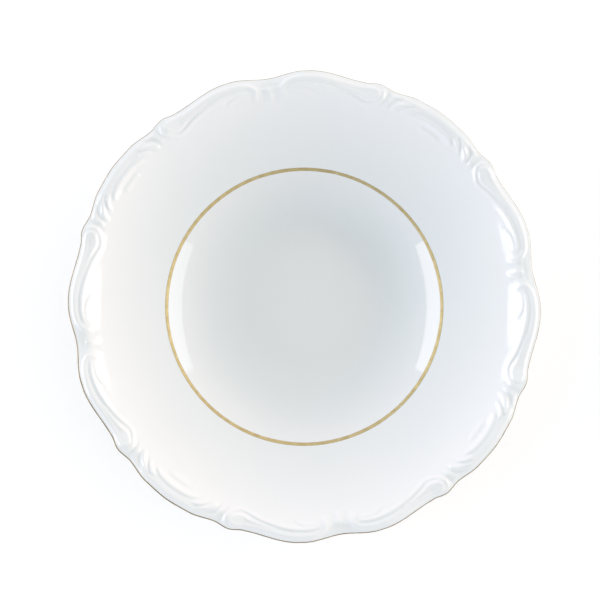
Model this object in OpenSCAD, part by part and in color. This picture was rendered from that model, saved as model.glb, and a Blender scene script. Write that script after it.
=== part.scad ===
// Round porcelain serving bowl with a plain well, a gold line on the shoulder
// and a scalloped rim carrying moulded scrolls and leaf strokes.
// The origin is the centre of the standing face of the foot ring, with +Z up.
// The deepest rim notch lies on +X; the rim repeats every 90 degrees and is
// mirrored about every notch and every broad lobe, so 45 degrees hold it all.

/* [Overall] */
// Radius of the glazed rim at the four broad lobes
rim_r = 125; // [110:1:140]
// Height of the well floor above the table
floor_z = 10; // [9:0.5:14]
// Rise from the well floor to the shoulder
well_depth = 18; // [14:0.5:21]
// Rise from the shoulder to the rim
wall_rise = 35; // [28:0.5:42]

/* [Well and wall] */
// Radius of the flat part of the well floor
floor_r = 30; // [20:1:40]
// Radius of the shoulder where the well meets the flared wall
shoulder_r = 77; // [70:1:84]
// How late the well turns upward
well_curve = 2.2; // [1.8:0.1:3]
// How late the flared wall turns upward
wall_curve = 3; // [2:0.1:4]
// Share of the wall's rise that is a straight slope
wall_straight = 0.75; // [0.5:0.05:0.95]
// Upright thickness of the wall beside the foot ring
foot_wall_t = 4.4; // [3.5:0.1:5.5]
// Upright thickness of the wall at the rim
rim_wall_t = 3; // [2.5:0.1:4]
// How much less steeply the flared border climbs than the wall
border_flare = 1.1; // [0.7:0.05:1.2]
// Distance in from the edge where the flared border sets in
border_w = 7; // [5:0.5:9]
// How much the last of the border rolls down toward the lip
lip_roll = 0.15; // [0:0.05:0.3]
// Distance in from the edge where that roll sets in
lip_roll_w = 2.8; // [2:0.2:4]

/* [Foot ring] */
// Height of the foot ring
foot_h = 6; // [4:0.5:7]
// Outer radius of the foot ring where it meets the wall
foot_r = 55.5; // [50:0.5:60]
// Thickness of the foot ring where it meets the wall
foot_t = 6; // [4:0.5:8]
// Width of the flat standing face
standing_w = 2; // [1:0.5:3]

/* [Rim outline] */
// Inset of the deep notch at 0 degrees
deep_notch = 2.6; // [1:0.1:4]
// Angle at the top of the narrow lobe
narrow_lobe_deg = 10; // [9:0.5:12]
// Inset of the narrow lobe
narrow_lobe = 0.3; // [0:0.05:1]
// Angle of the shallow notch
shallow_notch_deg = 22.75; // [21:0.25:24]
// Inset of the shallow notch
shallow_notch = 2.2; // [1:0.1:4]
// Angle of the small cusp
cusp_deg = 28; // [27.5:0.25:28.5]
// Inset of the small cusp
cusp = 0.95; // [0.5:0.05:2]
// Angle of the notch beside the broad lobe
side_notch_deg = 32; // [31:0.25:32.5]
// Inset of the notch beside the broad lobe
side_notch = 1.8; // [1:0.1:4]
// Angle where the broad lobe rounds off
broad_lobe_deg = 39.5; // [38.5:0.5:40.5]
// Inset where the broad lobe rounds off
broad_lobe = 0.3; // [0:0.05:1]

/* [Coats] */
// Thickness of the glaze
glaze_t = 0.25; // [0.2:0.05:0.4]
// Thickness of the fired gold
gold_t = 0.1; // [0.05:0.05:0.2]
// Width of the gold line on the shoulder
gold_line_w = 1.9; // [1:0.1:3]

/* [Hidden] */

porcelain_colour = [0.93, 0.92, 0.90];
glaze_colour = [0.96, 0.97, 0.98];
gold_colour = [0.80, 0.64, 0.36];

quarter = 90;
half_sector = quarter / 2;
shoulder_z = floor_z + well_depth;
core_rim_r = rim_r - glaze_t;
lip_t = rim_wall_t / 2;
relief_w = 17;
relief_start_r = rim_r - relief_w;
mm_per_deg = rim_r * PI / 180;

// ---- helpers ----
function clamp(x) = max(0, min(1, x));
function ease(x) = let (t = clamp(x)) t * t * (3 - 2 * t);
function mix(a, b, t) = a + (b - a) * t;

// Angle from the nearest deep notch, folded into one half sector.
function folded(deg) = abs(((deg + half_sector) % quarter + quarter) % quarter - half_sector);

// ---- rim outline: the turns of the edge, each eased into the next ----
turns = [
    [0, deep_notch],
    [narrow_lobe_deg, narrow_lobe],
    [shallow_notch_deg, shallow_notch],
    [cusp_deg, cusp],
    [side_notch_deg, side_notch],
    [broad_lobe_deg, broad_lobe],
    [half_sector, 0]
];

function inset_from(deg, i) =
    deg <= turns[i + 1][0] || i == len(turns) - 2
        ? mix(turns[i][1], turns[i + 1][1], ease((deg - turns[i][0]) / (turns[i + 1][0] - turns[i][0])))
        : inset_from(deg, i + 1);

function edge_r(deg) = core_rim_r - inset_from(folded(deg), 0);

// ---- heights of the inner and outer faces of the wall ----
function well_z(r) =
    floor_z + well_depth * pow(clamp((r - floor_r) / (shoulder_r - floor_r)), well_curve);

function wall_z(r) =
    let (u = (r - shoulder_r) / (rim_r - shoulder_r))
    shoulder_z + wall_rise * (wall_straight * u + (1 - wall_straight) * pow(u, wall_curve));

function inner_z(r) = r < shoulder_r ? well_z(r) : wall_z(r);

function wall_t(r) = mix(foot_wall_t, rim_wall_t, clamp((r - foot_r) / (rim_r - foot_r)));

function outer_z(r) = inner_z(r) - wall_t(r);

function slope_deg(r) = atan(inner_z(r + 0.5) - inner_z(r - 0.5));

// ---- flared border: how far it lies below the wall's own curve at a distance in from the glazed edge ----
border_softness = 1.9;
lip_roll_softness = 1.4;
function bend_drop(slope, past, softness) =
    slope / 2 * (past + sqrt(past * past + softness * softness));
function flare_drop(d) =
    bend_drop(border_flare, border_w - d, border_softness)
    + bend_drop(lip_roll, lip_roll_w - d, lip_roll_softness);

function face_z(r, d) = inner_z(r) - flare_drop(d + glaze_t);

function face_slope_deg(d) = let (r = rim_r - d) atan(face_z(r + 0.5, d - 0.5) - face_z(r - 0.5, d + 0.5));

// ---- moulded relief: strokes of clay laid along the rim ----
// Each stroke is [height, half width, [[degrees, distance in from the edge], ...]].
strokes = [
    // long band of the scroll, under the edge
    [0.6, 1.9, [[5, 4.2], [8, 3.6], [21, 3.5], [26, 3]]],
    // round head of the scroll beside the deep notch
    [0.7, 1.7, [[5, 4.2], [3.7, 6], [4.1, 10]]],
    // hook of the scroll and its return
    [0.65, 1.2, [[26, 3], [29.5, 5], [28.5, 9.8], [26.8, 11], [22, 9], [14, 7.7], [6, 7.3]]],
    // bud on the deep notch
    [0.7, 1.8, [[0, 6.4], [0, 11]]],
    // band under the broad lobe
    [0.5, 1.9, [[31.8, 3.2], [34, 2.7], [45, 3.4]]],
    // lower ridge under the broad lobe
    [0.6, 1.2, [[38.8, 9.6], [41, 8.4], [45, 8.3]]],
    // leaf strokes that sweep from the broad lobe toward the cusp
    [0.6, 0.9, [[32.8, 3.2], [31.6, 8.2]]],
    [0.7, 1.2, [[37, 4.9], [33.3, 8.8]]],
    [0.65, 0.9, [[38.6, 6.2], [36, 9.2]]]
];

function segment_gap(p, a, b) =
    let (ab = b - a)
    norm(p - a - ab * clamp((p - a) * ab / (ab * ab)));

function stroke_gap(p, points) =
    min([for (i = [0 : len(points) - 2]) segment_gap(p, points[i], points[i + 1])]);

function in_mm(place) = [place[0] * mm_per_deg, place[1]];

function stroke_height(p, stroke) =
    stroke[0] * (1 - ease(stroke_gap(p, [for (q = stroke[2]) in_mm(q)]) / stroke[1]));

function relief(deg, d) =
    d <= 0 || d >= relief_w ? 0 : max([for (s = strokes) stroke_height(in_mm([folded(deg), d]), s)]);

// ---- grid: the angles of the uprights and the stations along the section ----
sector_angles = [0, 2.5, 5, 7.5, narrow_lobe_deg, 14, 18, shallow_notch_deg, 25, cusp_deg, 29.75,
                 side_notch_deg, 35, broad_lobe_deg];
half_angles = concat(sector_angles, [half_sector],
                     [for (i = [len(sector_angles) - 1 : -1 : 1]) quarter - sector_angles[i]]);
angles = [for (q = [0 : 3], a = half_angles) q * quarter + a];

// Stations run out over the inner face, round the edge and in under the outer face.
// An inner or outer station is a radius; a relief station is a distance in from the edge.
well_stations = [for (t = [0, 0.3, 0.52, 0.72, 0.9]) mix(floor_r, shoulder_r, t)];
line_stations = [shoulder_r - gold_line_w / 2, shoulder_r + gold_line_w / 2];
wall_stations = [for (t = [0.35, 0.75]) mix(shoulder_r, relief_start_r, t)];
relief_stations = [14, 11.6, 9.8, 8.2, 6.8, 5.4, 4, 2.6, 1.4, 0.6];
under_stations = [1.2, 6, 14];
outer_stations = [for (t = [0.66, 0.43, 0.24, 0.09]) mix(foot_r, relief_start_r, t)];

// Each entry gives the section point at an angle and the outward direction there.
function inner_point(r) = [r, inner_z(r)];
function inner_out(r) = [-sin(slope_deg(r)), cos(slope_deg(r))];
function relief_point(deg, d) = let (r = edge_r(deg) - d) [r, face_z(r, d) + relief(deg, d)];
function edge_point(deg) = [edge_r(deg), face_z(edge_r(deg), 0) - lip_t];
function under_point(deg, d) = let (r = edge_r(deg) - d) [r, outer_z(r) - flare_drop(d + glaze_t)];
function outer_point(r) = [r, outer_z(r)];
function outer_out(r) = [sin(slope_deg(r)), -cos(slope_deg(r))];
function border_out(d) = [-sin(face_slope_deg(d)), cos(face_slope_deg(d))];

function section(deg) = concat(
    [for (r = concat(well_stations, line_stations, wall_stations)) [inner_point(r), inner_out(r)]],
    [for (d = relief_stations) [relief_point(deg, d), border_out(d)]],
    [[edge_point(deg), [1, 0]]],
    [for (d = under_stations) [under_point(deg, d), -border_out(d)]],
    [for (r = outer_stations) [outer_point(r), outer_out(r)]],
    [[[foot_r, foot_h], [1, 0]]]
);

sections = [for (a = angles) section(a)];
last_station = len(sections[0]) - 1;
line_start = len(well_stations);
edge_station = len(well_stations) + len(line_stations) + len(wall_stations) + len(relief_stations);

// Ring of points around the bowl at one station, lifted off the clay by a coat.
function ring(station, lift) = [
    for (i = [0 : len(angles) - 1])
        let (
            entry = sections[i][station],
            p = entry[0] + lift * entry[1]
        )
        [p[0] * cos(angles[i]), p[0] * sin(angles[i]), p[1]]
];

// Two triangles for each step around the band between ring a and ring b.
function band(a, b) = [
    for (i = [0 : len(angles) - 1])
        let (
            n = len(angles),
            j = (i + 1) % n
        )
        each [[a * n + i, a * n + j, b * n + j], [a * n + i, b * n + j, b * n + i]]
];

function turned(faces) = [for (f = faces) [f[0], f[2], f[1]]];

function disc(ring_index) = [for (i = [0 : len(angles) - 1]) ring_index * len(angles) + i];

function reversed(list) = [for (i = [len(list) - 1 : -1 : 0]) list[i]];

// Coat between two lifts over a run of stations; at the first station it may close over the middle.
module coat(first, last, low, high, over_middle) {
    n = last - first + 1;
    top = [for (s = [first : last]) each ring(s, high)];
    under = [for (s = [first : last]) each ring(s, low)];
    skin = [for (k = [0 : n - 2]) each band(k, k + 1)];
    lining = turned([for (k = [0 : n - 2]) each band(n + k, n + k + 1)]);
    outer_join = band(n - 1, 2 * n - 1);
    inner_join = over_middle ? [reversed(disc(0)), disc(n)] : turned(band(0, n));
    polyhedron(points = concat(top, under), faces = concat(skin, lining, outer_join, inner_join));
}

// ---- sub-parts ----
module porcelain_body() {
    color(porcelain_colour)
        polyhedron(
            points = [for (s = [0 : last_station]) each ring(s, 0)],
            faces = concat(
                [for (s = [0 : last_station - 1]) each band(s, s + 1)],
                [reversed(disc(0)), disc(last_station)]
            )
        );
}

module foot_ring() {
    inner_r = foot_r - foot_t;
    middle_r = foot_r - foot_t / 2;
    corner = 0.8;
    color(porcelain_colour)
        rotate_extrude($fn = 96)
            polygon([
                [inner_r, foot_h],
                [middle_r - standing_w / 2 - corner, corner],
                [middle_r - standing_w / 2 - corner * (1 - cos(45)), corner * (1 - sin(45))],
                [middle_r - standing_w / 2, 0],
                [middle_r + standing_w / 2, 0],
                [middle_r + standing_w / 2 + corner * (1 - cos(45)), corner * (1 - sin(45))],
                [middle_r + standing_w / 2 + corner, corner],
                [foot_r, foot_h]
            ]);
}

module inside_glaze() {
    color(glaze_colour) coat(0, edge_station, 0, glaze_t, true);
}

module outside_glaze() {
    color(glaze_colour) coat(edge_station, last_station, 0, glaze_t, false);
}

module recess_glaze() {
    color(glaze_colour)
        translate([0, 0, foot_h - glaze_t])
            cylinder(r = foot_r - foot_t, h = glaze_t, $fn = 96);
}

module shoulder_gold_line() {
    color(gold_colour) coat(line_start, line_start + 1, glaze_t, glaze_t + gold_t, false);
}

module rim_gold_line() {
    color(gold_colour) coat(edge_station - 1, edge_station, glaze_t, glaze_t + gold_t, false);
}

porcelain_body();
foot_ring();
inside_glaze();
outside_glaze();
recess_glaze();
shoulder_gold_line();
rim_gold_line();
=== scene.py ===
"""Porcelain serving bowl: a glazed bowl with a moulded, scalloped rim and two gold lines.

Every piece is made in the row frame. Lengths are written in millimetres, as a potter would give
them, and turned into metres where a mesh is made. Angles are in degrees from the deep notch on +X.
"""

import math

import bpy
import numpy as np
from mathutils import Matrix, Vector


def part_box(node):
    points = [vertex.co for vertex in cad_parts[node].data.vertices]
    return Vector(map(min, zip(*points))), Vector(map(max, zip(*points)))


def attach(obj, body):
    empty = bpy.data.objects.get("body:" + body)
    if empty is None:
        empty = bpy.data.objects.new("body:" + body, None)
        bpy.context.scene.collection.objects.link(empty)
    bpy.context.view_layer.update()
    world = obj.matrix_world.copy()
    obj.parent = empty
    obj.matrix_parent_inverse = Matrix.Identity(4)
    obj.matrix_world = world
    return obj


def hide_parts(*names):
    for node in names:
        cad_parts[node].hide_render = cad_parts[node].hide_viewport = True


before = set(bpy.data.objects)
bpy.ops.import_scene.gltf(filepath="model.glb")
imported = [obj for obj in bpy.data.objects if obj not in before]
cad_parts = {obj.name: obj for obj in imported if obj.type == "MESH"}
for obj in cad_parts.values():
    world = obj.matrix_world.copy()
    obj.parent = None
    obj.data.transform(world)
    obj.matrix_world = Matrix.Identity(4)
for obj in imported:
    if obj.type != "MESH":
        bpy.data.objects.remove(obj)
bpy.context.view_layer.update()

MM = 0.001

# ================================================================ sizes taken from the frame


def node_radii(node):
    """Smallest and largest distance of a CAD node's corners from the bowl's axis."""
    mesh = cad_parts[node].data
    points = np.empty(len(mesh.vertices) * 3)
    mesh.vertices.foreach_get("co", points)
    points = points.reshape(-1, 3) / MM
    away = np.hypot(points[:, 0], points[:, 1])
    return float(away.min()), float(away.max())


RIM_R = node_radii("inside_glaze")[1]
RIM_TOP_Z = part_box("inside_glaze")[1].z / MM
LINE_R_IN, LINE_R_OUT = node_radii("shoulder_gold_line")
FOOT_R = node_radii("foot_ring")[1]
FOOT_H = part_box("foot_ring")[1].z / MM

# ================================================================ form of the bowl

GLAZE_T = 0.25
FLOOR_Z = FOOT_H + 4.2
# The well is level out to FLAT_R and rises as a power of the way to the shoulder.
WELL_DEPTH = 18.0
FLAT_R = 30.0
WELL_CURVE = 2.2
SHOULDER_R = (LINE_R_IN + LINE_R_OUT) / 2
# The wall's rise is a straight share and a curved share, before the border flares.
WALL_RISE = 35.0
WALL_STRAIGHT = 0.75
WALL_CURVE = 3.0
# Thickness of the wall by the foot and near the rim, and radius of the lip.
FOOT_WALL_T = 4.4
RIM_WALL_T = 3.0
LIP_R = 0.9
# The glaze ends this high above the standing face.
BARE_FOOT_H = 1.2

# How softly the faces round the shoulder crease, inside and outside.
INSIDE_SOFTNESS = 0.8
OUTSIDE_SOFTNESS = 4.0

# Turns of the scalloped edge: degrees, and inset from the broad lobe.
EDGE_TURNS = [(0, 2.6), (9.5, 0.4), (11.5, 0.3), (23, 2.05), (24.5, 2.0),
              (28.2, 0.82), (32.1, 1.72), (38.5, 0.38), (45, 0)]
HALF_SECTOR = 45.0
MM_PER_DEG = RIM_R * math.pi / 180
# How far the moulded relief reaches in from the edge.
RELIEF_W = 17.0


def ease(t):
    """A smooth step from 0 to 1, held level outside that range."""
    t = np.clip(t, 0, 1)
    return t * t * (3 - 2 * t)


def edge_r(deg):
    """Radius of the rim at angles folded into one half sector."""
    inset = np.zeros_like(deg)
    for (a, inset_a), (b, inset_b) in zip(EDGE_TURNS, EDGE_TURNS[1:]):
        here = (deg >= a) & (deg <= b)
        inset[here] = inset_a + (inset_b - inset_a) * ease((deg[here] - a) / (b - a))
    return RIM_R - inset


# ---------------------------------------------------------------- heights of the two faces of the wall

# Both faces are kept as tables of heights, one for each radius.
STEP = 0.05
RADII = np.arange(0, RIM_R + 4, STEP)


def sharp_height(r):
    """The inner face before the glaze softens it."""
    t = np.clip((r - FLAT_R) / (SHOULDER_R - FLAT_R), 0, 1)
    u = np.clip((r - SHOULDER_R) / (RIM_R - SHOULDER_R), 0, None)
    wall = WALL_RISE * (WALL_STRAIGHT * u + (1 - WALL_STRAIGHT) * u**WALL_CURVE)
    return FLOOR_Z + WELL_DEPTH * t**WELL_CURVE + wall


def softened(heights, softness):
    """A table of heights averaged with a bell curve of that softness."""
    reach = int(4 * softness / STEP)
    bell = np.exp(-0.5 * (np.arange(-reach, reach + 1) * STEP / softness) ** 2)
    before = np.full(reach, heights[0])
    after = heights[-1] + (heights[-1] - heights[-2]) * np.arange(1, reach + 1)
    padded = np.concatenate([before, heights, after])
    return np.convolve(padded, bell / bell.sum(), "valid")


INNER_TABLE = softened(sharp_height(RADII), INSIDE_SOFTNESS)
UNDER_TABLE = softened(sharp_height(RADII), OUTSIDE_SOFTNESS)


def inner_z(r):
    """Inner face of the bowl, without the border's flare."""
    return np.interp(r, RADII, INNER_TABLE)


def under_z(r):
    """Outer face of the wall, glaze and all, without the border's flare."""
    share = np.clip((r - FOOT_R) / (RIM_R - FOOT_R), 0, 1)
    thickness = FOOT_WALL_T + (RIM_WALL_T - FOOT_WALL_T) * share
    return np.interp(r, RADII, UNDER_TABLE) - thickness


# ================================================================ moulded relief of the rim
# A stroke is a height and its points: (degrees, distance in from the edge, half width).

RIDGES = {
    "scroll_band": (0.61, [(4.6, 4.4, 1.5), (6, 3.7, 1.8), (12, 3.5, 2.0), (19, 3.5, 2.0),
                           (23, 3.4, 1.8), (26, 3.0, 1.6)]),
    "scroll_head": (0.73, [(4.6, 4.4, 1.6), (3.7, 5.8, 1.7), (3.6, 8.0, 1.8), (4.1, 10.0, 1.7)]),
    "scroll_curl": (0.61, [(26, 3.0, 1.4), (27.8, 3.9, 1.2), (28.6, 5.6, 1.1), (28.1, 7.6, 1.1),
                           (26.8, 8.6, 1.1), (25.4, 8.0, 0.9), (24, 6.8, 0.8), (22, 6.1, 0.7),
                           (19, 5.9, 0.6), (17, 5.8, 0.4)]),
    "scroll_return": (0.67, [(29.4, 2.8, 0.6), (29.8, 5, 0.8), (29.6, 7.6, 0.9), (28.5, 9.8, 0.9),
                             (26.8, 11, 1.0), (24.6, 10.2, 1.0), (22.2, 9.0, 1.1), (19.5, 8.2, 1.0),
                             (14, 7.7, 1.0), (9, 7.3, 0.9), (6, 7.3, 0.7)]),
    "under_leaf": (0.49, [(6, 8.9, 0.5), (8.5, 9.2, 0.8), (10.3, 9.9, 0.8), (11.3, 11, 0.7)]),
    "bud": (0.73, [(0, 6.4, 1.2), (0, 8, 1.9), (0, 10, 1.7), (0, 11.2, 1.0)]),
    "lobe_band": (0.46, [(31.6, 2.9, 0.9), (33.4, 2.5, 1.3), (38, 3.2, 1.7), (45, 3.4, 2.0)]),
    "leaf_first": (0.67, [(33.4, 2.4, 0.5), (32.3, 3.9, 0.7), (31.8, 6, 0.8), (31.5, 8.4, 0.6)]),
    "leaf_second": (0.79, [(37.2, 4.8, 0.7), (35.6, 5.6, 1.1), (34.2, 6.9, 1.3), (33.3, 8.8, 1.2)]),
    "leaf_third": (0.73, [(38.8, 6.0, 0.5), (37.4, 7.0, 0.9), (36.4, 8.2, 0.9), (35.9, 9.4, 0.5)]),
    "leaf_fourth": (0.61, [(45, 8.3, 1.2), (42, 8.3, 1.2), (40, 8.7, 1.1), (38.8, 9.6, 0.8)]),
    "leaf_last": (0.37, [(45, 12.3, 1.5), (42.5, 12.4, 1.1)]),
}
GROOVES = {
    "edge_groove": (0.06, [(0, 1.8, 0.8), (45, 1.8, 0.8)]),
    "scroll_groove": (0.46, [(5.2, 6.1, 0.7), (8, 5.9, 0.9), (14, 6.1, 1.0), (19, 6.7, 0.9),
                             (22, 7.5, 0.8), (24, 8.6, 0.8), (25.6, 9.5, 0.7), (27, 9.9, 0.6),
                             (28.2, 8.9, 0.5)]),
    "hook_groove": (0.55, [(30.9, 2.2, 0.7), (30.7, 5, 0.9), (30.4, 7.5, 0.9), (30, 9.6, 0.7)]),
    "bud_side": (0.43, [(1.8, 6.2, 0.7), (1.75, 8.5, 0.9), (1.9, 10.8, 0.7)]),
    "bud_top": (0.37, [(0, 4.3, 1.4), (2.2, 4.5, 1.0)]),
    "leaf_gap_first": (0.59, [(35.2, 2.9, 0.8), (33.4, 4.3, 0.9), (32.6, 6.4, 0.7), (32.3, 8.6, 0.5)]),
    "leaf_gap_second": (0.56, [(38.2, 5.0, 0.6), (36.7, 6.2, 0.7), (35.5, 7.8, 0.7), (34.9, 9, 0.5)]),
    "leaf_gap_third": (0.46, [(45, 6.4, 0.9), (41, 6.5, 0.9), (39.4, 7.2, 0.8), (38.2, 8.4, 0.6)]),
    "leaf_gap_fourth": (0.30, [(45, 10.5, 0.8), (42.5, 10.4, 0.8), (41, 10.9, 0.5)]),
    "under_leaf_gap": (0.30, [(6, 8.1, 0.5), (9, 8.4, 0.7), (11.5, 9.4, 0.7), (12.5, 10.4, 0.5)]),
}
# How softly the glaze rounds the relief.
RELIEF_SOFTNESS = 0.50
# The relief fades out over the last stretch before the lip.
RELIEF_ENDS = 0.9
RELIEF_FADE = 1.0
# Ridges meet as a sum of powers, so that the higher one wins softly.
RIDGE_POWER = 4
# Any gap from a stroke wider than its own half width leaves it no height.
FAR_GAP = 9.0
CURVE_STEPS = 8
# The border flares out level, then rolls down a little to the lip.
# Each: how much less steeply it climbs, where that sets in, and how softly.
BORDER_BENDS = [(1.10, 7.0, 1.9), (0.15, 2.8, 1.4)]


def curve(points, per_span):
    """A Catmull-Rom curve through points of any kind."""
    p = np.array(points, float)
    p = np.vstack([2 * p[0] - p[1], p, 2 * p[-1] - p[-2]])
    t = np.linspace(0, 1, per_span, endpoint=False)[:, None]
    spans = []
    for a, b, c, d in zip(p, p[1:], p[2:], p[3:]):
        spans.append(0.5 * (2 * b + (c - a) * t + (2 * a - 5 * b + 4 * c - d) * t**2
                            + (3 * b - a - 3 * c + d) * t**3))
    spans.append(p[-2:-1])
    return np.vstack(spans)


def stroke_height(along, across, stroke):
    """Height of one stroke over many places: a rounded section swept along its centre line."""
    height, points = stroke
    path = curve([(deg * MM_PER_DEG, inward, half) for deg, inward, half in points], CURVE_STEPS)
    nearest = np.full(along.shape, FAR_GAP)
    for (ax, ay, aw), (bx, by, bw) in zip(path, path[1:]):
        dx = bx - ax
        dy = by - ay
        t = np.clip(((along - ax) * dx + (across - ay) * dy) / (dx * dx + dy * dy + 1e-9), 0, 1)
        gap = np.hypot(along - ax - t * dx, across - ay - t * dy) / (aw + (bw - aw) * t)
        nearest = np.minimum(nearest, gap)
    return height * np.clip(1 - nearest**2, 0, None) ** 1.5


def mirrored_height(along, across, stroke):
    """One stroke with its mirror images about the deep notch and the broad lobe."""
    whole = stroke_height(along, across, stroke)
    whole = np.maximum(whole, stroke_height(-along, across, stroke))
    return np.maximum(whole, stroke_height(2 * HALF_SECTOR * MM_PER_DEG - along, across, stroke))


FIELD_DEG = np.arange(0, HALF_SECTOR + 0.01, 0.125)
FIELD_ACROSS = np.arange(0, RELIEF_W + 3, 0.15)


def blurred(field, step, axis, softness):
    """A field averaged along one axis, as if mirrored at both ends."""
    reach = int(4 * softness / step) + 1
    bell = np.exp(-0.5 * (np.arange(-reach, reach + 1) * step / softness) ** 2)
    padding = [(0, 0), (0, 0)]
    padding[axis] = (reach, reach)
    padded = np.pad(field, padding, "reflect")
    return np.apply_along_axis(np.convolve, axis, padded, bell / bell.sum(), "valid")


def relief_field():
    """Heights of the softened relief over one half sector: rows across the rim, columns along it."""
    along, across = np.meshgrid(FIELD_DEG * MM_PER_DEG, FIELD_ACROSS)
    powers = sum(mirrored_height(along, across, stroke)**RIDGE_POWER for stroke in RIDGES.values())
    raised = powers**(1 / RIDGE_POWER)
    cut = sum(mirrored_height(along, across, stroke) for stroke in GROOVES.values())
    field = blurred(raised - cut, FIELD_ACROSS[1], 0, RELIEF_SOFTNESS)
    return blurred(field, FIELD_DEG[1] * MM_PER_DEG, 1, RELIEF_SOFTNESS)


RELIEF_FIELD = relief_field()


def flare_drop(across):
    """How far the flared border lies below the wall's own curve."""
    drop = 0.0
    for slope, start, softness in BORDER_BENDS:
        past = start - across
        drop = drop + slope * 0.5 * (past + np.hypot(past, softness))
    return drop


def relief(deg, across):
    """Height of the relief at folded degrees, at one distance in from the edge."""
    row = np.array([np.interp(across, FIELD_ACROSS, column) for column in RELIEF_FIELD.T])
    return np.interp(deg, FIELD_DEG, row) * ease((across - RELIEF_ENDS) / RELIEF_FADE)


# ================================================================ rings of points, and skins between them

# Points in a ring. Each count is a whole number of times the ones below it.
FINE = 1440
MIDDLE = 720
COARSE = 360
PLAIN = 180


def folded(count):
    """For every point of a ring, its angle from the nearest deep notch."""
    deg = np.arange(count) * 360.0 / count
    return np.abs((deg + HALF_SECTOR) % (2 * HALF_SECTOR) - HALF_SECTOR)


def ring(count, r, z):
    """A ring of points from radii and heights, given once or for every point."""
    a = np.arange(count) * 2 * math.pi / count
    r = np.broadcast_to(r, a.shape)
    z = np.broadcast_to(z, a.shape)
    return np.stack([r * np.cos(a), r * np.sin(a), z], 1)


def turned_rings(count, section):
    """Rings through the points of a section: (radius, height)."""
    return [ring(count, r, z) for r, z in section]


def band(a, na, b, nb):
    """Faces from ring a to ring b. Either may have a whole number of times the other's points."""
    if na == nb:
        i = np.arange(na)
        j = (i + 1) % na
        return np.stack([a + i, b + i, b + j, a + j], 1).tolist()
    if na < nb:
        return [face[::-1] for face in band(b, nb, a, na)]
    many = na // nb
    faces = []
    for k in range(nb):
        here = b + k
        after = b + (k + 1) % nb
        first = k * many
        half = first + many // 2
        faces += [[a + i, here, a + (i + 1) % na] for i in range(first, half)]
        faces.append([a + half % na, here, after])
        faces += [[a + i, after, a + (i + 1) % na] for i in range(half, first + many)]
    return faces


def mark_sharp(mesh, sizes, sharp_rings):
    """Marks the edges that run round the named rings, so that smooth shading stops there."""
    ring_of = np.full(len(mesh.vertices), -1)
    ring_of[:sum(sizes)] = np.repeat(np.arange(len(sizes)), sizes)
    ends = np.empty(len(mesh.edges) * 2, int)
    mesh.edges.foreach_get("vertices", ends)
    a, b = ring_of[ends.reshape(-1, 2)].T
    sharp = (a == b) & np.isin(a, [k % len(sizes) for k in sharp_rings])
    mesh.attributes.new("sharp_edge", "BOOLEAN", "EDGE").data.foreach_set("value", sharp)


def skin(name, rings, over_middle, sharp_rings=()):
    """A closed mesh through a run of rings, which ends on the axis or joins its first ring."""
    sizes = [len(points) for points in rings]
    starts = np.concatenate([[0], np.cumsum(sizes)]).tolist()
    points = np.vstack(rings)
    faces = []
    for k in range(len(rings) - 1):
        faces += band(starts[k], sizes[k], starts[k + 1], sizes[k + 1])
    if over_middle:
        first = len(points)
        last = first + 1
        end = starts[-2]
        points = np.vstack([points, [[0, 0, rings[0][0, 2]], [0, 0, rings[-1][0, 2]]]])
        faces += [[first, i, (i + 1) % sizes[0]] for i in range(sizes[0])]
        faces += [[end + i, last, end + (i + 1) % sizes[-1]] for i in range(sizes[-1])]
    else:
        faces += band(starts[-2], sizes[-1], 0, sizes[0])
    mesh = bpy.data.meshes.new(name)
    mesh.from_pydata((points * MM).tolist(), [], faces)
    mesh.polygons.foreach_set("use_smooth", [True] * len(mesh.polygons))
    mark_sharp(mesh, sizes, sharp_rings)
    piece = bpy.data.objects.new(name, mesh)
    bpy.context.scene.collection.objects.link(piece)
    return piece


# ================================================================ rings of the wall, face by face

# Distance in from the edge where the face runs into the rounded lip.
LIP_TANGENT = LIP_R * 0.84
# Where the wall's outline starts to ease from a circle to the scallops, past the shoulder.
ROUND_TO = SHOULDER_R + 6
# From THIN_FROM in from the edge, the lip thickens into the full wall over THIN_W.
THIN_FROM = 0.5
THIN_W = 9.5
# Step over which the slope of the face is measured.
LEAN_STEP = 0.2


def face_z(count, across):
    """Heights of the inner face on a ring at a distance in from the edge, flare and all."""
    return inner_z(edge_r(folded(count)) - across) - flare_drop(across)


def face_lean(count, across):
    """Angle of that face from level."""
    return np.arctan((face_z(count, across) - face_z(count, across + LEAN_STEP)) / LEAN_STEP)


def lip_ring(count, turn, shrink=0.0):
    """Ring on the rounded lip: turn 90 is its crest, 0 its outermost line, below 0 its underside."""
    tilt = face_lean(count, LIP_R)
    middle_r = edge_r(folded(count)) - LIP_R
    middle_z = face_z(count, LIP_R) - LIP_R / np.cos(tilt)
    radius = LIP_R - shrink
    turn = np.radians(turn)
    return ring(count, middle_r + radius * np.cos(turn), middle_z + radius * np.sin(turn))


def relief_ring(count, across, share=1.0, drop=0.0):
    """Ring on the relief at a distance in from the edge, with a share of its height."""
    height = share * relief(folded(count), across)
    return ring(count, edge_r(folded(count)) - across, face_z(count, across) + height - drop)


def scalloped(count, r):
    """Radii of a ring that eases from a circle at the shoulder to the outline of the rim."""
    share = ease((r - ROUND_TO) / (RIM_R - RELIEF_W - ROUND_TO))
    return r + share * (edge_r(folded(count)) - RIM_R)


def inner_ring(count, r, drop=0.0):
    """Ring on the plain part of the inside."""
    reach = scalloped(count, r)
    return ring(count, reach, inner_z(reach) - drop)


def under_lip_ring(count, across, lift=0.0):
    """Ring on the outside near the edge, where the wall thins toward the lip."""
    r = edge_r(folded(count)) - across
    lip_z = face_z(count, across) - 2 * LIP_R / np.cos(face_lean(count, across))
    full_z = under_z(r) - flare_drop(across)
    share = ease((across - THIN_FROM) / THIN_W)
    return ring(count, r, lip_z + (full_z - lip_z) * share + lift)


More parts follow.
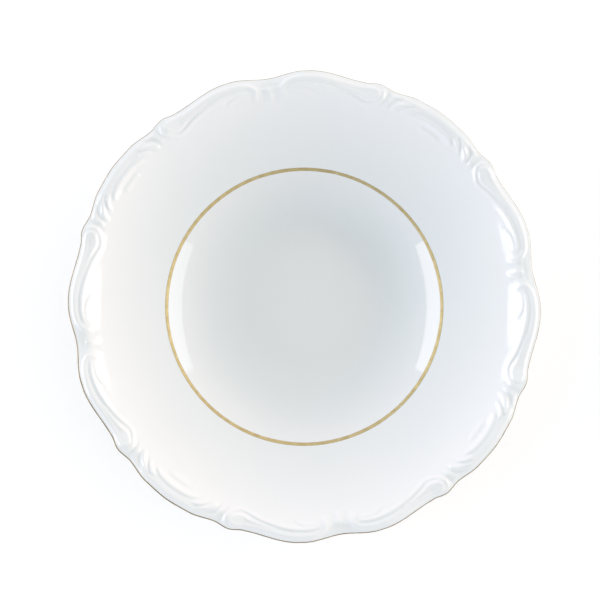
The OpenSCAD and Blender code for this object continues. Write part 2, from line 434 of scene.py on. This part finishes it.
def under_ring(count, r, lift=0.0):
    """Ring on the plain part of the outside."""
    reach = scalloped(count, r)
    return ring(count, reach, under_z(reach) + lift)


# ---------------------------------------------------------------- sections of the foot: radius and height

# Outer face of the foot, down from the wall to just above where the glaze ends.
FOOT_SIDE = curve([(63.0, float(under_z(63.0))), (59.6, float(under_z(59.6)) - 0.25), (57.4, 9.4),
                   (56.2, 7.2), (55.6, 4.8), (55.1, 2.6), (54.85, BARE_FOOT_H + 0.25)], 4)
# Ceiling of the recess, and down the inner face of the foot to just above where the glaze ends.
RECESS_SIDE = curve([(44.0, FOOT_H - GLAZE_T), (47.6, FOOT_H - GLAZE_T - 0.1), (49.3, 5.0),
                     (49.9, 3.6), (50.3, 2.4), (50.6, BARE_FOOT_H + 0.25)], 4)
# The bare clay of the foot, with a flat standing face.
BARE_FOOT_SECTION = [(50.3, FOOT_H - 0.4), (54.9, FOOT_H - 0.4), (54.6, 3.0), (54.5, 1.3),
                     (54.3, 0.75), (53.95, 0.3), (53.5, 0.07), (53.0, 0.0), (51.9, 0.0), (51.5, 0.07),
                     (51.2, 0.3), (50.95, 0.75), (50.8, 1.3), (50.7, 3.0)]


def set_in(section, away):
    """A section moved sideways by a distance, to the right of its direction of travel."""
    run = np.gradient(section, axis=0)
    run /= np.hypot(run[:, :1], run[:, 1:])
    return section + away * np.stack([run[:, 1], -run[:, 0]], 1)


# ================================================================ pieces

# Distances in from the edge of the rings under the border: those of the face, and of the lining above it.
UNDER_LIP_ACROSS = (1.0, 1.6, 2.4, 3.3, 4.4, 5.6, 7.2, 9, 11, 13.5, 16)
LINING_ACROSS = (15, 13, 11.5, 10, 8.5, 7, 5.5, 4, 2)
# Depth of the clay below the surface of the glaze, so that it just clears the glaze's underside.
CLAY_DEPTH = GLAZE_T + 0.02
# Under the moulded relief, glaze and clay meet at this share of its height, and this much deeper.
MEET_RELIEF = 0.8
MEET_DEEPER = 0.15


def lining_under_glaze(gap):
    """Rings from the lip back to the axis, under the inside glaze."""
    rings = [lip_ring(MIDDLE, turn, gap) for turn in (0, 40, 75)]
    rings += [relief_ring(MIDDLE, across, MEET_RELIEF, gap + MEET_DEEPER)
              for across in np.arange(2.0, RELIEF_W, 1.4)]
    rings += [inner_ring(PLAIN, r, gap) for r in (104, 98, 92, 86, 81, 79, 77, 75, 73)]
    rings += [inner_ring(PLAIN, r, gap) for r in range(68, 24, -4)]
    return rings


def make_inside_glaze():
    """Glaze over the well, the shoulder, the wall and the relief, out to the edge of the lip."""
    face = [inner_ring(COARSE, r) for r in (6, 12, 18, 24)]
    face += [inner_ring(COARSE, r) for r in np.arange(28, SHOULDER_R - 2.6, 1.9)]
    face += [inner_ring(COARSE, SHOULDER_R + s) for s in np.arange(-2.4, 2.5, 0.4)]
    face += [inner_ring(COARSE, r) for r in np.arange(SHOULDER_R + 4, RIM_R - RELIEF_W, 2.1)]
    face += [relief_ring(FINE, across) for across in np.arange(RELIEF_W - 0.3, LIP_TANGENT + 0.1, -0.42)]
    face += [lip_ring(FINE, turn) for turn in (72, 60, 46, 30, 15, 0)]
    return skin("inside_glaze_coat", face + lining_under_glaze(GLAZE_T), True, [len(face) - 1])


def make_outside_glaze():
    """Glaze from the edge of the lip down the outside to the foot, which it leaves bare."""
    face = [lip_ring(FINE, turn) for turn in (0, -20, -40, -58)]
    face += [under_lip_ring(MIDDLE, across) for across in UNDER_LIP_ACROSS]
    face += [under_ring(COARSE, r) for r in np.arange(RIM_R - RELIEF_W - 2, 64.0, -2.0)]
    face += turned_rings(COARSE, FOOT_SIDE)
    face += turned_rings(COARSE, [(54.75, BARE_FOOT_H + 0.08), (54.55, BARE_FOOT_H)])
    lining = turned_rings(PLAIN, set_in(FOOT_SIDE, 0.3)[::-2])
    lining += [under_ring(PLAIN, r, GLAZE_T) for r in range(66, 108, 3)]
    lining += [under_lip_ring(MIDDLE, across, GLAZE_T) for across in LINING_ACROSS]
    lining += [lip_ring(MIDDLE, turn, GLAZE_T) for turn in (-40, 0)]
    return skin("outside_glaze_coat", face + lining, False, [0, -1])


def make_recess_glaze():
    """Glaze over the recess inside the foot."""
    lining = turned_rings(PLAIN, [(20, FOOT_H - 0.02), (46, FOOT_H - 0.02)])
    lining += turned_rings(PLAIN, set_in(RECESS_SIDE, -0.3)[4::4])
    face = turned_rings(COARSE, [(50.95, BARE_FOOT_H), (50.72, BARE_FOOT_H + 0.08)])
    face += turned_rings(COARSE, RECESS_SIDE[::-1])
    face += turned_rings(PLAIN, [(34, FOOT_H - GLAZE_T), (20, FOOT_H - GLAZE_T)])
    return skin("recess_glaze_coat", lining + face, True)


def make_foot_ring():
    """The clay of the foot, closed on itself."""
    section = np.maximum(curve(BARE_FOOT_SECTION, 3), 0)
    return skin("bare_foot_ring", turned_rings(COARSE, section), False)


def make_body():
    """The clay of the bowl, under the glaze on both faces."""
    face = lining_under_glaze(CLAY_DEPTH)[::-1]
    under = [under_lip_ring(MIDDLE, across, CLAY_DEPTH) for across in LINING_ACROSS[::-1]]
    under += [under_ring(PLAIN, r, CLAY_DEPTH) for r in range(105, 63, -3)]
    foot_side = [point for point in set_in(FOOT_SIDE, 0.34)[1::2] if point[1] > FOOT_H]
    under += turned_rings(PLAIN, foot_side)
    into_foot = FOOT_H - 0.3
    over_recess = FOOT_H + 0.02
    under += turned_rings(PLAIN, [(54.8, into_foot), (51, into_foot)])
    under += turned_rings(PLAIN, [(48, over_recess), (20, over_recess)])
    return skin("porcelain_core", face + under, True)


def wavering(count, seed, size):
    """A slow waver round the ring, as a hand-held brush leaves on a turning bowl."""
    rng = np.random.default_rng(seed)
    a = np.arange(count) * 2 * math.pi / count
    wave = np.zeros(count)
    for cycles in (2, 3, 5, 9, 16, 31, 58):
        wave += rng.normal() / cycles**0.35 * np.sin(cycles * a + rng.uniform(0, 2 * math.pi))
    return size * wave / np.abs(wave).max()


# How far each gold line stands above the glaze, and how far both are sunk into it.
GOLD_RAISED = 0.05
RIM_GOLD_RAISED = 0.04
GOLD_SUNK = 0.1
# The brush leaves the line a little narrower than the strip kept for it.
LINE_INSET = 0.17


def make_shoulder_line():
    """A flat bead of gold on the shoulder, with brushed, slightly wavering edges."""
    inner_edge = LINE_R_IN + LINE_INSET + wavering(FINE, 3, 0.08)
    outer_edge = LINE_R_OUT - LINE_INSET + wavering(FINE, 8, 0.08)
    rings = []
    for share, raised in ((0, -0.03), (0.06, 0.6), (0.2, 1), (0.5, 1), (0.8, 1), (0.94, 0.6), (1, -0.03)):
        r = inner_edge + (outer_edge - inner_edge) * share
        rings.append(ring(FINE, r, inner_z(r) + GOLD_RAISED * raised))
    for share in (0.95, 0.5, 0.05):
        r = inner_edge + (outer_edge - inner_edge) * share
        rings.append(ring(FINE, r, inner_z(r) - GOLD_SUNK))
    return skin("shoulder_gold_band", rings, False)


# The gold on the lip, in degrees of turn about it: from near the crest to just under its outermost line.
RIM_GOLD_FROM = 66
RIM_GOLD_TO = -14
# Painted shade: the dark gold reaches this much further over the lip on the side where shade falls, and
# as much less on the other.
RIM_GOLD_SHADE_WIDENING = 18
RIM_GOLD_SHADED_SIDE_AT = 226


def make_rim_line():
    """Gold along the outer edge of the lip, widened over it as painted shade on the side where shade
    falls.
    """
    # Painted shade: the band's start moves up the lip toward the shaded side, so the dark line is widest
    # there.
    from_shaded_side = np.radians(np.arange(FINE) * 360.0 / FINE - RIM_GOLD_SHADED_SIDE_AT)
    start = RIM_GOLD_FROM + RIM_GOLD_SHADE_WIDENING * np.cos(from_shaded_side) + wavering(FINE, 21, 6)
    stop = RIM_GOLD_TO + wavering(FINE, 34, 9)
    rings = []
    for share, raised in ((0, -0.3), (0.06, 0.7), (0.25, 1), (0.5, 1), (0.75, 1), (0.94, 0.7), (1, -0.3)):
        rings.append(lip_ring(FINE, start + (stop - start) * share, -RIM_GOLD_RAISED * raised))
    for share in (0.9, 0.5, 0.1):
        rings.append(lip_ring(MIDDLE, (start + (stop - start) * share)[::2], GOLD_SUNK))
    return skin("rim_gold_band", rings, False)


# ================================================================ materials


class Nodes:
    """Short calls for building one material's nodes."""

    def __init__(self, name):
        self.material = bpy.data.materials.new(name)
        self.material.use_nodes = True
        self.tree = self.material.node_tree
        self.shader = self.tree.nodes["Principled BSDF"]
        self.place = self.add("ShaderNodeTexCoord").outputs["Object"]

    def add(self, kind, **settings):
        """A new node of a kind, with its settings."""
        node = self.tree.nodes.new(kind)
        for name, value in settings.items():
            setattr(node, name, value)
        return node

    def link(self, value, socket):
        self.tree.links.new(value, socket)

    def noise(self, scale, detail=2.0, roughness=0.5):
        """Noise from 0 to 1. Scale is in waves to a metre."""
        node = self.add("ShaderNodeTexNoise")
        node.inputs["Scale"].default_value = scale
        node.inputs["Detail"].default_value = detail
        node.inputs["Roughness"].default_value = roughness
        self.link(self.place, node.inputs["Vector"])
        return node.outputs["Fac"]

    def spread(self, value, low, high, out_low, out_high):
        """A value between low and high, spread over another range."""
        node = self.add("ShaderNodeMapRange")
        node.inputs["From Min"].default_value = low
        node.inputs["From Max"].default_value = high
        node.inputs["To Min"].default_value = out_low
        node.inputs["To Max"].default_value = out_high
        self.link(value, node.inputs["Value"])
        return node.outputs["Result"]

    def blend(self, share, a, b):
        """Colour a where the share is 0 and colour b where it is 1."""
        node = self.add("ShaderNodeMix", data_type="RGBA")
        self.link(share, node.inputs["Factor"])
        for socket, colour in ((node.inputs[6], a), (node.inputs[7], b)):
            if isinstance(colour, tuple):
                socket.default_value = (*colour, 1)
            else:
                self.link(colour, socket)
        return node.outputs[2]

    def bump(self, height, strength, distance_mm):
        """Fine unevenness of the surface, too small to be in the mesh."""
        node = self.add("ShaderNodeBump")
        node.inputs["Strength"].default_value = strength
        node.inputs["Distance"].default_value = distance_mm * MM
        self.link(height, node.inputs["Height"])
        self.link(node.outputs["Normal"], self.shader.inputs["Normal"])

    def set(self, **values):
        """Sets inputs of the shader, to a number or from a socket."""
        for name, value in values.items():
            socket = self.shader.inputs[name.replace("_", " ")]
            if isinstance(value, (int, float)):
                socket.default_value = value
            else:
                self.link(value, socket)


def glaze_material():
    """Clear glossy glaze on white porcelain, with faint clouding and a faint ripple."""
    n = Nodes("glaze")
    cloud = n.spread(n.noise(16, 3), 0.3, 0.7, 0, 1)
    colour = n.blend(cloud, (0.700, 0.712, 0.716), (0.716, 0.722, 0.722))
    rough = n.spread(n.noise(60, 2), 0.3, 0.7, 0.025, 0.05)
    n.set(Base_Color=colour, Roughness=rough, IOR=1.52)
    n.bump(n.noise(110, 2), 0.12, 0.05)
    return n.material


def biscuit_material():
    """Bare fired porcelain, matte and finely grained."""
    n = Nodes("bare_porcelain")
    grain = n.spread(n.noise(2600, 3), 0.3, 0.7, 0, 1)
    colour = n.blend(grain, (0.64, 0.62, 0.585), (0.72, 0.70, 0.665))
    n.set(Base_Color=colour, Roughness=n.spread(n.noise(900, 2), 0.3, 0.7, 0.72, 0.88))
    n.bump(n.noise(3200, 2), 0.3, 0.03)
    return n.material


def gold_material(name, worn, shades):
    """Fired gold: satin, a little streaked, and rubbed thin in places."""
    n = Nodes(name)
    streaks = n.spread(n.noise(260, 4, 0.6), 0.3, 0.7, 0, 1)
    gold = n.blend(streaks, *shades)
    wear = n.spread(n.noise(420, 4, 0.65), worn, worn + 0.1, 0, 1)
    colour = n.blend(wear, gold, (0.68, 0.64, 0.55))
    n.set(Base_Color=colour, Roughness=n.spread(n.noise(700, 3), 0.3, 0.7, 0.50, 0.64))
    n.set(Metallic=n.spread(wear, 0, 1, 1, 0.15))
    n.bump(n.noise(1500, 3), 0.25, 0.02)
    return n.material


# ================================================================ assembly

glaze = glaze_material()
biscuit = biscuit_material()
shoulder_gold = gold_material("shoulder_gold", 0.66, ((0.45, 0.365, 0.182), (0.565, 0.465, 0.255)))
# Painted shade: the rim's gold is real, but its shades are much darker than the shoulder's to stand in
# for the shade on the lip's outer edge.
rim_gold = gold_material("rim_gold", 0.66, ((0.20, 0.155, 0.08), (0.33, 0.265, 0.15)))

PIECES = [
    (make_inside_glaze, "inside_glaze", "glaze", glaze),
    (make_outside_glaze, "outside_glaze", "glaze", glaze),
    (make_recess_glaze, "recess_glaze", "glaze", glaze),
    (make_body, "porcelain_body", "porcelain", biscuit),
    (make_foot_ring, "foot_ring", "porcelain", biscuit),
    (make_shoulder_line, "shoulder_gold_line", "gold", shoulder_gold),
    (make_rim_line, "rim_gold_line", "gold", rim_gold),
]

for make, node, slot, material in PIECES:
    piece = make()
    piece.data.materials.append(material)
    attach(piece, "root")
    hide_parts(node)

# ================================================================ floor, camera and light

# Half the width of the floor, in metres.
FLOOR_HALF = 3
# The bowl fills this share of the frame's width, and stands a little right of and below its middle.
BOWL_SHARE = 0.7933
SHIFT_X = -0.0072
SHIFT_Y = 0.0112
SENSOR_MM = 36
CAMERA_ABOVE_RIM = 436.0
# How far the bowl is turned under the camera.
ROLL_DEG = 9.25


def make_floor():
    """A pale, matte floor, wider than the view."""
    mesh = bpy.data.meshes.new("floor")
    corners = [(x * FLOOR_HALF, y * FLOOR_HALF, 0) for x, y in ((-1, -1), (1, -1), (1, 1), (-1, 1))]
    mesh.from_pydata(corners, [], [(0, 1, 2, 3)])
    n = Nodes("pale_floor")
    n.set(Base_Color=n.blend(n.noise(3, 2), (0.94, 0.93, 0.92), (0.95, 0.94, 0.93)), Roughness=0.9)
    mesh.materials.append(n.material)
    floor = bpy.data.objects.new("floor", mesh)
    bpy.context.scene.collection.objects.link(floor)


def make_camera():
    """The camera looks straight down at the bowl."""
    frame_width = 2 * RIM_R / BOWL_SHARE
    data = bpy.data.cameras.new("camera")
    data.sensor_width = SENSOR_MM
    data.lens = SENSOR_MM * CAMERA_ABOVE_RIM / frame_width
    data.shift_x = SHIFT_X
    data.shift_y = SHIFT_Y
    data.dof.use_dof = False
    camera = bpy.data.objects.new("camera", data)
    camera.location = (0, 0, (RIM_TOP_Z + CAMERA_ABOVE_RIM) * MM)
    camera.rotation_euler = (0, 0, -math.radians(ROLL_DEG))
    bpy.context.scene.collection.objects.link(camera)
    bpy.context.scene.camera = camera


def bearing(azimuth):
    """World angle of a direction given as the camera sees it, anticlockwise from the right."""
    return math.radians(azimuth - ROLL_DEG)


def make_window(name, azimuth, half_width, low, high, strength, colour, distance=1.5):
    """An upright area light between two elevations. Angles are in degrees, its distance in metres."""
    bottom = math.tan(math.radians(low)) * distance
    top = math.tan(math.radians(high)) * distance
    data = bpy.data.lights.new(name, "AREA")
    data.shape = "RECTANGLE"
    data.size = 2 * distance * math.tan(math.radians(half_width))
    data.size_y = top - bottom
    data.energy = strength * data.size * data.size_y * math.pi
    data.color = colour
    lamp = bpy.data.objects.new(name, data)
    a = bearing(azimuth)
    lamp.location = (distance * math.cos(a), distance * math.sin(a), (bottom + top) / 2)
    lamp.rotation_euler = (math.radians(90), 0, a + math.radians(90))
    bpy.context.scene.collection.objects.link(lamp)


def toward(azimuth, elevation):
    """Unit direction of an azimuth, as the camera sees it, and an elevation."""
    a = bearing(azimuth)
    e = math.radians(elevation)
    return (math.cos(e) * math.cos(a), math.cos(e) * math.sin(a), math.sin(e))


def make_room():
    """A pale room: even light, and the changes to it by direction."""
    world = bpy.data.worlds.new("studio")
    bpy.context.scene.world = world
    world.use_nodes = True
    tree = world.node_tree
    direction = tree.nodes.new("ShaderNodeTexCoord").outputs["Generated"]

    def math_node(operation, a, b=0.0):
        node = tree.nodes.new("ShaderNodeMath")
        node.operation = operation
        tree.links.new(a, node.inputs[0])
        node.inputs[1].default_value = b
        return node.outputs[0]

    light = ROOM_LEVEL
    for place, tightness, change in ROOM_CHANGES:
        along = tree.nodes.new("ShaderNodeVectorMath")
        along.operation = "DOT_PRODUCT"
        along.inputs[1].default_value = toward(*place)
        tree.links.new(direction, along.inputs[0])
        share = along.outputs["Value"]
        if tightness:
            from_middle = math_node("SUBTRACT", share, 1)
            share = math_node("EXPONENT", math_node("MULTIPLY", from_middle, tightness))
        total = tree.nodes.new("ShaderNodeVectorMath")
        total.operation = "MULTIPLY_ADD"
        total.inputs[1].default_value = change
        tree.links.new(share, total.inputs[0])
        if isinstance(light, tuple):
            total.inputs[2].default_value = light
        else:
            tree.links.new(light, total.inputs[2])
        light = total.outputs["Vector"]
    tree.links.new(light, tree.nodes["Background"].inputs["Color"])


# Red, green and blue light of the room. The ceiling dims it overhead, but for a glow straight above.
ROOM_LEVEL = (2.05, 1.75, 1.78)
# Each change: azimuth and elevation, tightness of the patch or 0 for the whole sky, and its light.
ROOM_CHANGES = [
    ((0, 0), 0, (0.34, 0.16, 0.0)),
    ((90, 0), 0, (0.234, 0.168, 0.134)),
    ((0, 90), 0, (-1.70, -1.08, -1.05)),
    ((0, 90), 14, (0.98, 0.48, 0.34)),
    ((225, 68), 14, (-0.64, -0.84, -0.94)),
]

make_floor()
make_camera()
make_room()
make_window("window_left", 180, 29, 2, 31.5, 3.0, (1.08, 0.98, 0.94))
make_window("window_right", 0, 29, 2, 31.5, 2.1, (0.92, 1.01, 1.07))
bpy.context.scene.view_settings.view_transform = "Standard"
